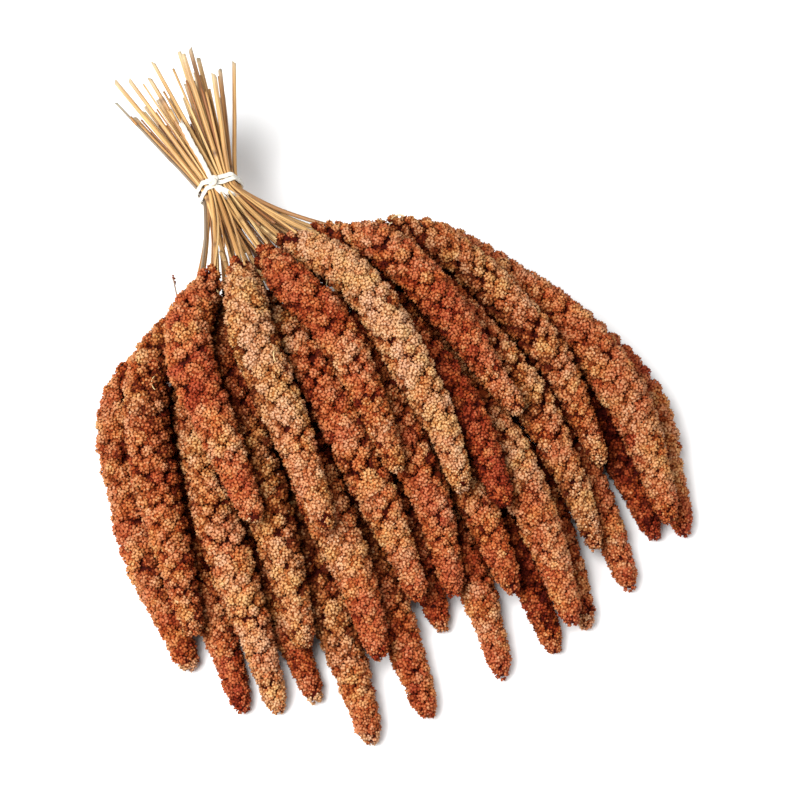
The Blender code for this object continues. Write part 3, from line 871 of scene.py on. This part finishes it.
def open_looks_of(middle, out, tuft):
    """The directions from which each tuft can be seen, past the other heads, and the share that they are."""
    open_looks, open_shares = [], []
    for start, way in zip(middle + out * (tuft + 0.0012)[:, None], out):
        facing = looks[looks @ way > 0.0]
        clear = [solids.ray_cast(Vector(start), Vector(look))[0] is None for look in facing]
        open_looks.append(facing[clear])
        open_shares.append(sum(clear) / len(clear))
    return open_looks, np.array(open_shares)


def tuft_colours(points, share, open_share):
    """Tone and painted light of each tuft of a head, from where it is and how open it lies."""
    # Heads that lie higher in the bunch are tan, and those lower down and at the right side are redder
    rise = (points[:, 2].max() - cad_box[0][2]) / (cad_box[1][2] - cad_box[0][2])
    aside = points[:, 0].mean() / cad_box[1][0]
    head_tone = HEAD_TONE + REDDER_ASIDE * aside - PALER_ABOVE * (rise - 0.5)
    head_tone += rng.uniform(-HEAD_TONE_SPREAD, HEAD_TONE_SPREAD)
    drift = rng.uniform(-TONE_DRIFT, TONE_DRIFT, DRIFT_PLACES)
    tone = head_tone + np.interp(share, np.linspace(0, 1, DRIFT_PLACES), drift)
    tone += rng.normal(0, TUFT_TONE_SPREAD, len(share))
    light = rng.normal(TUFT_LIGHT, TUFT_LIGHT_SPREAD, len(share))
    light -= DIM_AT_FOOT * np.clip(1 - share / 0.09, 0, 1)
    # Painted shade on tufts that other heads hide from most directions
    light += rng.uniform(*HEAD_LIGHT) - SHADE_BETWEEN_HEADS * (1 - np.minimum(open_share * 1.15, 1))
    # Some tufts are brown and dull, most of them at the foot
    dull = rng.random(len(share)) < DULL_TUFTS + DULL_TUFTS_AT_FOOT * np.clip(1 - share / 0.14, 0, 1)
    tone[dull] += DULL_TONE
    light[dull] -= DULL_LIGHT
    # Pale husks without seeds at the very tip of some
    if rng.random() < HUSKY_TIPS:
        tone[share > HUSKS_FROM] -= 0.5
        light[share > HUSKS_FROM] += 0.35
    return tone, light


def seeds_on(middle, out, tuft, open_looks):
    """Seeds on the open sides of tufts: tuft, way out, place, whether it is a fine one, and swelling."""
    rows = []
    for i, seen in enumerate(open_looks):
        if not len(seen):
            continue
        upper = seen[seen[:, 2] > -0.15]
        shell = tuft[i] - SEED_REACH
        pitch = SEED_PITCH if len(upper) > 2 else SEED_PITCH * COARSER_BELOW
        count = max(int(4 * math.pi * shell ** 2 / (ROW_SHARE * pitch ** 2)), FEWEST_SEEDS)
        ways = even_directions(count)
        one, two = upright(out[i][None])
        ways = ways[:, :1] * one + ways[:, 1:2] * two + ways[:, 2:] * out[i]
        ways = unit(ways + rng.normal(0, 0.10, ways.shape))
        ways = ways[(ways @ out[i] > -0.1) & ((ways @ seen.T).max(axis=1) > 0.3)]
        places = middle[i] + ways * (shell * rng.uniform(0.94, 1.06, len(ways)))[:, None]
        # The lowest seeds rest on the ground
        places[:, 2] = np.maximum(places[:, 2], SEED_REACH * 0.7)
        fine = (ways @ upper.T).max(axis=1, initial=-1) > 0.4
        rows.append((np.full(len(ways), i), ways, places, fine, np.full(len(ways), pitch / SEED_PITCH)))
    owner, ways, places, fine, swell = (np.concatenate(column) for column in zip(*rows))
    # Seeds pressed into a neighbouring tuft don't show
    apart = np.linalg.norm(places[:, None] - middle[None], axis=2)
    apart[np.arange(len(owner)), owner] = 1
    shown = (apart > tuft[None] - SEED_REACH * 1.25).all(axis=1)
    return (column[shown] for column in (owner, ways, places, fine, swell))


seeds = seed_material()
looks = even_directions(LOOKS)
for number, (points, radii) in enumerate(head_lines, start=1):
    middle, out, tuft, share, spine = tuft_places(points, radii)
    open_looks, open_share = open_looks_of(middle, out, tuft)
    tuft_tone, tuft_light = tuft_colours(points, share, open_share)
    owner, ways, places, fine, swell = seeds_on(middle, out, tuft, open_looks)
    reach = SEED_REACH * swell * rng.uniform(*SEED_SIZES, len(owner)) * np.clip(tuft[owner] / 0.0036, 0.8, 1)
    # Seeds on the sides of a tuft are redder than those that face out, and darker with painted shade
    facing = (ways * out[owner]).sum(axis=1)
    tone = tuft_tone[owner] + rng.normal(0, SEED_TONE_SPREAD, len(owner)) + REDDER_AROUND * (0.6 - facing)
    facing_shade = FACING_SHADE - LESS_FACING_SHADE_AT_TIP * np.clip((share[owner] - TIP_FROM) / (1 - TIP_FROM), 0, 1)
    light = tuft_light[owner] + rng.normal(0, SEED_LIGHT_SPREAD, len(owner)) + facing_shade * (facing - 0.62)
    tone = np.clip(tone, 0, 1)
    light = np.clip(light, 0, 1)
    light[rng.random(len(owner)) < PALE_SEEDS] = 1
    head = Tufts()
    for shape, chosen in ((fine_seed, fine), (plain_seed, ~fine)):
        head.repeat(shape, *(values[chosen] for values in (places, ways, reach, tone, light)))
    # A plain ball inside each tuft, and beads inside the head, so that no gap goes through
    # Both are dark and red: painted shade where they show in the gaps between tufts
    showing = open_share > 0
    cores = (middle, out, tuft - SEED_REACH * CORE_SUNK, np.clip(tuft_tone + 0.15, 0, 1),
             np.clip(tuft_light * 0.55, 0.06, 1))
    head.repeat(core_ball, *(values[showing] for values in cores), length=1.0)
    head.repeat(core_ball, *spine, 0.9, 0.0, length=1.0)
    if number == bristly + 1:
        ways = even_directions(7)
        places = bristle[-1] - bristle_way * np.linspace(0, 0.0035, 7)[:, None] + ways * 0.0006
        head.repeat(plain_seed, places, ways, np.full(7, 0.0008), 0.8, 0.3)
    finished(head.mesh(f"seeds_{number:02d}"), f"head_{number:02d}", seeds)


# String: one length of soft white cotton, three strands twisted together and flattened. It is wound twice
# round the straws, pulled tight and knotted on top, and its two cut ends lie on the straws and fray.

HALF_THICKNESS = 0.00062
STRING_SIDES = 12
STRING_STEP = 0.0008
STRANDS = 3
STRAND_RELIEF = 0.13
STRAND_WINDING = 420.0
OFF_STRAWS = 0.0020
WINDING_POINTS = 96
WINDING_APART = 0.0019
WINDING_SLANT = 0.06
KNOT_POINTS = 60
KNOT_PLACE = (-0.0039, 0.0, 0.0009)
KNOT_REACH = 0.0031
KNOT_RISE = 0.0009

# Routes of the loose ends, seen from above and from the middle of the tie
LONG_END = ((-0.0040, 0.0016), (-0.0046, 0.0120), (-0.0062, 0.0240), (-0.0068, 0.0370))
SHORT_END = ((-0.0036, -0.0016), (-0.0016, -0.0060), (0.0010, -0.0125))

# Half widths and half thicknesses along each part, and the hairs that come out of its end
WINDING_SIZES = ((0.0015,), (HALF_THICKNESS,))
KNOT_SIZES = ((0.00115,), (0.0009,))
LONG_END_SIZES = ((0.0013, 0.0014, 0.0016, 0.0015), (0.0008, 0.0007, 0.0006, 0.0005))
SHORT_END_SIZES = ((0.0009, 0.00105, 0.0010), (0.0006, 0.0005, 0.0004))
END_SPREAD = 0.0019
HAIRS = 20
HAIR_POINTS = 5
HAIR_RADIUS = 0.00011
HAIR_LENGTH = (0.0018, 0.0048)
HAIR_STRAY = 0.35
HAIR_RISE = (-0.05, 0.25)


def string_part(points, out, sizes, strip):
    """A twisted stretch of string through the points, closed at both ends and flat across the ways out."""
    at, curve = smooth_line(points, STRING_STEP)
    wide, thick = (np.interp(at, np.linspace(0, at[-1], len(size)), size)[:, None] for size in sizes)
    out = at_place(at, distances(points), np.broadcast_to(out, points.shape))
    ahead = unit(np.gradient(curve, axis=0))
    side = unit(np.cross(ahead, out))
    out = np.cross(side, ahead)
    turns = np.linspace(0, math.tau, STRING_SIDES, endpoint=False)
    lobes = 1 + STRAND_RELIEF * np.cos(STRANDS * turns[None] + STRAND_WINDING * STRANDS * at[:, None])
    rings = curve[:, None] + side[:, None] * (np.cos(turns) * wide * lobes)[..., None]
    rings = rings + out[:, None] * (np.sin(turns) * thick * lobes)[..., None]
    return rolled(capped(rings, curve), np.concatenate([[0], at, [at[-1]]]), strip)


def hair(start, way, length, strip):
    """One loose cotton fibre, bent and pointed."""
    share = np.linspace(0, 1, HAIR_POINTS)
    bend = rng.normal(0, HAIR_STRAY, 3)
    curve = start + (way * share[:, None] + bend * (share ** 2)[:, None] * 0.5) * length
    _, side, over = directions(curve)
    radius = HAIR_RADIUS * (1.15 - share)
    rings = curve[:, None] + wall_ways(side, over, 3) * radius[:, None, None]
    return rolled(rings, share * length, strip)


def cotton_material():
    """White cotton with cream-tinted painted shade in the grooves between its strands, fine fibres wound
    along them.
    """
    material, tree, shader = new_material("cotton")
    place = attribute(tree, "place")
    fine = fibres(tree, place, STRAND_WINDING, 9.0, 900.0)
    coarse = fibres(tree, place, STRAND_WINDING, 2.5, 260.0)
    soil = noise(tree, add(tree, "ShaderNodeTexCoord").outputs["Object"], 160.0, 3.0)
    colour = ramp(tree, ((0.32, (0.480, 0.430, 0.340)), (0.46, (0.720, 0.690, 0.610)),
                         (0.62, (0.800, 0.780, 0.720))), fine)
    shade = ramp(tree, ((0.38, (0.80, 0.77, 0.72)), (0.55, (1.0, 1.0, 1.0))), coarse)
    soiled = ramp(tree, ((0.36, (0.84, 0.78, 0.68)), (0.50, (1.0, 1.0, 1.0))), soil)
    colour = mixed(tree, "MULTIPLY", 0.8, colour, shade)
    colour = mixed(tree, "MULTIPLY", 0.6, colour, soiled)
    feed(tree, shader, {"Base Color": colour, "Roughness": 0.92, "Sheen Weight": 0.3,
                        "Specular IOR Level": 0.2})
    bumped(tree, shader, fine, 0.6, 0.0003)
    return material


def straws_at(y):
    """Middles of all the straws, seen along the bunch, where they pass one place."""
    rows = []
    for line in straw_lines:
        near = line.curve[np.abs(line.curve[:, 1] - y) < 0.03]
        rows.append([np.interp(-y, -near[:, 1], near[:, axis]) for axis in (0, 2)])
    return np.array(rows)


def laid_height(x, y, reach):
    """Height of the top of the highest straw near a place."""
    tops = []
    for line in straw_lines:
        near = np.hypot(line.curve[:, 0] - x, line.curve[:, 1] - y) < reach
        tops.append((line.curve[near, 2] + line.radius).max(initial=0))
    return max(tops)


def lying(route, reach, lift):
    """A route over the straws from above, at the height of whatever straw is highest at each place."""
    _, flat = smooth_line(np.array([(*place, 0) for place in route]), 0.002)
    flat += (middle_x, tie_y, 0)
    heights = [laid_height(x, y, reach) for x, y, _ in flat]
    padded = np.pad(heights, 2, mode="edge")
    highest = [max(padded[i:i + 5]) for i in range(len(heights))]
    flat[:, 2] = evened(highest, 2) + lift
    flat[0, 2] = knot[2]
    return flat


held = straws_at(tie_y)
middle_x = held[:, 0].mean()
rise = (straws_at(tie_y + 0.004) - straws_at(tie_y - 0.004))[:, 1].mean() / 0.008

# Seen along the bunch, the tight string runs round the outermost straws
angles = np.linspace(0, math.tau, 240, endpoint=False) + math.pi / 2
out_ways = np.stack([np.cos(angles), np.sin(angles)], axis=1)
loop = held[np.argmax(held @ out_ways.T, axis=0)] + out_ways * OFF_STRAWS
loop, out_ways = (np.concatenate([values, values[:1]]) for values in (loop, out_ways))
around = distances(loop)
even = np.linspace(0, around[-1], WINDING_POINTS + 1)[:-1]
loop, loop_out = (at_place(even, around, values) for values in (loop, out_ways))
top = held[:, 1].max() + OFF_STRAWS
knot = np.array(KNOT_PLACE) + (middle_x, tie_y, top + HALF_THICKNESS)

# Two turns that start and end under the knot, where the first goes over to the second beside it
first = np.argmin(np.hypot(loop[:, 0] - knot[0], loop[:, 1] - top))
loop, loop_out = (np.concatenate([np.roll(values, -first, axis=0)] * 2 + [values[first][None]])
                  for values in (loop, loop_out))
over_to = np.clip((np.linspace(0, 2, len(loop)) - 0.9) / 0.2, 0, 1)
side = 2 * over_to * over_to * (3 - 2 * over_to) - 1
along_y = side * (WINDING_APART - WINDING_SLANT * (loop[:, 0] - middle_x))
wound = np.stack([loop[:, 0], tie_y + along_y, loop[:, 1] + rise * along_y], axis=1)
wound_out = np.stack([loop_out[:, 0], np.zeros(len(loop)), loop_out[:, 1]], axis=1)

knot_turn = np.linspace(0, math.tau * 1.03, KNOT_POINTS)
knot_points = knot + np.stack([KNOT_REACH * (np.sin(knot_turn) + 2 * np.sin(2 * knot_turn)) / 3,
                               KNOT_REACH * 0.8 * (np.cos(knot_turn) - 2 * np.cos(2 * knot_turn)) / 3,
                               KNOT_RISE * -np.sin(3 * knot_turn)], axis=1)

up = np.array([0.0, 0.0, 1.0])
long_end = lying(LONG_END, 0.0035, HALF_THICKNESS * 1.2)
parts = [
    string_part(wound, wound_out, WINDING_SIZES, (0.0, 0.24)),
    string_part(knot_points, up, KNOT_SIZES, (0.24, 0.42)),
    string_part(long_end, up, LONG_END_SIZES, (0.42, 0.62)),
]
ends = [(long_end, 0.0011)]
# The short end has come apart into its strands
for strand in range(STRANDS):
    aside = (strand - 1) * END_SPREAD
    route = [(x + aside * share, y + 0.0012 * (strand == 1) * share)
             for (x, y), share in zip(SHORT_END, (0.2, 0.7, 1.3))]
    short_end = lying(route, 0.0028, 0.0005)
    left = 0.62 + 0.06 * strand
    parts.append(string_part(short_end, up, SHORT_END_SIZES, (left, left + 0.06)))
    ends.append((short_end, 0.0009))
strip = 0.2 / (len(ends) * HAIRS)
for number, (end, spread) in enumerate(ends):
    way = end[-1] - end[-3]
    way = way / np.linalg.norm(way)
    side = np.cross(way, up)
    for i in range(HAIRS if number == 0 else HAIRS // 2):
        start = end[-1] - way * 0.0006
        start = start + side * rng.uniform(-spread, spread) + up * rng.uniform(-0.0003, 0.0003)
        out = way + side * rng.normal(0, HAIR_STRAY) + up * rng.uniform(*HAIR_RISE)
        left = 0.8 + strip * (number * HAIRS + i)
        parts.append(hair(start, out, rng.uniform(*HAIR_LENGTH), (left, left + strip)))
finished(joined("string_tied", parts), "string", cotton_material())


# Floor and light: a plain pale floor without an edge in sight, one large soft lamp above on the left, a weak
# one on the right, and a camera that looks down on the bunch from the left.

FLOOR_HALF = 6
LAMP_SIZE = 1.0
LAMPS_AIM = (0, 0, 0.03)
AZIMUTH, ELEVATION, VIEW = (math.radians(angle) for angle in (-25, 55, 23.5))
DISTANCE = 1.05
CAMERA_AIM = (0.022, -0.030, 0.007)

floor = bmesh.new()
bmesh.ops.create_grid(floor, x_segments=1, y_segments=1, size=FLOOR_HALF)
floor_piece = bpy.data.objects.new("floor", joined("floor", [floor]))
scene.collection.objects.link(floor_piece)
material, tree, shader = new_material("floor")
feed(tree, shader, {"Base Color": (0.86, 0.86, 0.86, 1), "Roughness": 0.8})
floor_piece.data.materials.append(material)

world = bpy.data.worlds.new("soft_room")
world.use_nodes = True
feed(world.node_tree, world.node_tree.nodes["Background"], {"Color": (1, 1, 1, 1), "Strength": 0.36})
scene.world = world

for name, place, power in (("key", (-0.75, -0.25, 1.25), 46), ("fill", (1.1, -0.9, 0.9), 7)):
    light = bpy.data.lights.new(name, "AREA")
    light.size = LAMP_SIZE
    light.energy = power
    lamp = bpy.data.objects.new(name, light)
    lamp.location = place
    lamp.rotation_euler = (Vector(LAMPS_AIM) - Vector(place)).to_track_quat("-Z", "Y").to_euler()
    scene.collection.objects.link(lamp)
scene.view_settings.view_transform = "Standard"

back = Vector((math.sin(AZIMUTH) * math.cos(ELEVATION), -math.cos(AZIMUTH) * math.cos(ELEVATION),
               math.sin(ELEVATION)))
camera = bpy.data.objects.new("camera", bpy.data.cameras.new("camera"))
camera.data.angle = VIEW
camera.location = Vector(CAMERA_AIM) + back * DISTANCE
camera.rotation_euler = back.to_track_quat("Z", "Y").to_euler()
scene.collection.objects.link(camera)
scene.camera = camera
